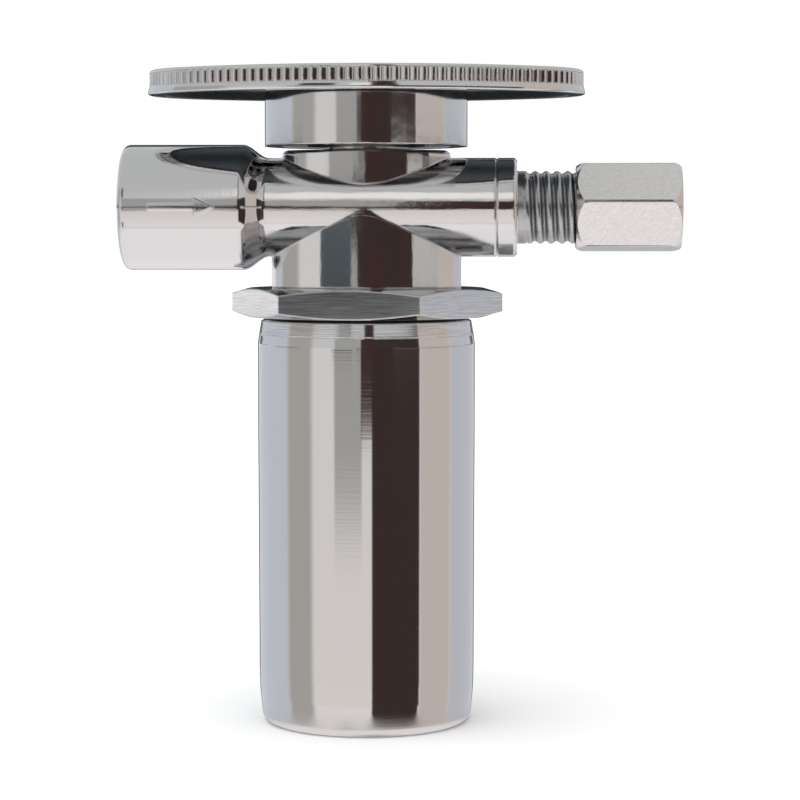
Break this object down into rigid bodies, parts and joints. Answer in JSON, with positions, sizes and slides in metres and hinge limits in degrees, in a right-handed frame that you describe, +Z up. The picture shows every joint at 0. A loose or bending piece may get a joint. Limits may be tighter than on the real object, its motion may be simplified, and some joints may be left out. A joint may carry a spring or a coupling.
{
  "type": "shut-off valve",
  "caption": "Straight multi-turn shut-off valve with solder inlet, compression outlet, fluted oval handle and a cylindrical water hammer arrestor hanging below.",
  "frame": {"origin": "centre of the arrestor chamber's flat bottom, on the axis of the valve's stem", "axes": "+Z up along the chamber and the stem, -X towards the mouth of the solder inlet, +X towards the compression outlet, the front faces -Y"},
  "size_m": [0.0853, 0.0404, 0.1001],
  "materials": {
    "plated_body": "polished chrome plate on forged brass",
    "plated_chamber": "polished chrome plate on drawn brass",
    "plated_handle": "polished chrome plate on a die casting",
    "plated_fitting": "fine turned chrome plate on brass",
    "plated_nut": "satin chrome plate on brass",
    "plated_screw": "plated steel",
    "brass": "turned brass",
    "seal_rubber": "moulded black rubber",
    "piston_plastic": "turned acetal plastic"
  },
  "bodies": {
    "valve": {"valve_body": "plated_body", "gland_washer": "brass", "packing_ring": "seal_rubber", "packing_follower": "brass", "packing_nut": "plated_nut", "end_fitting": "plated_fitting", "fitting_o_ring": "seal_rubber", "arrestor_chamber": "plated_chamber", "chamber_o_ring": "seal_rubber"},
    "washer_carrier": {"washer_screw": "brass", "seat_washer": "seal_rubber", "washer_holder": "brass"},
    "handle": {"stem": "brass", "handle": "plated_handle", "lock_washer": "plated_screw", "handle_screw": "plated_screw"},
    "sleeve": {"compression_sleeve": "brass"},
    "nut": {"compression_nut": "plated_nut"},
    "piston": {"piston": "piston_plastic", "piston_ring_upper": "seal_rubber", "piston_ring_lower": "seal_rubber"}
  },
  "joints": [
    {"name": "stem_rise", "type": "slide", "parent": "valve", "child": "washer_carrier", "axis": [0, 0, 1], "range_m": [0, 0.00375]},
    {"name": "handle_turn", "type": "hinge", "parent": "washer_carrier", "child": "handle", "pos_m": [0, 0, 0.09], "axis": [0, 0, 1], "range_deg": [0, 1080]},
    {"name": "sleeve_push", "type": "slide", "parent": "valve", "child": "sleeve", "axis": [-1, 0, 0], "range_m": [0, 0.0033]},
    {"name": "nut_turn", "type": "hinge", "parent": "sleeve", "child": "nut", "pos_m": [0.04, 0, 0.07925], "axis": [-1, 0, 0], "range_deg": [0, 720]},
    {"name": "piston_slide", "type": "slide", "parent": "valve", "child": "piston", "axis": [0, 0, -1], "range_m": [0, 0.032], "stiffness_N_per_m": 400, "springref_m": -0.004}
  ],
  "couplings": [
    {"joint": "stem_rise", "follows": "handle_turn", "m_per_rad": 0.00019894},
    {"joint": "sleeve_push", "follows": "nut_turn", "m_per_rad": 0.00026261}
  ]
}
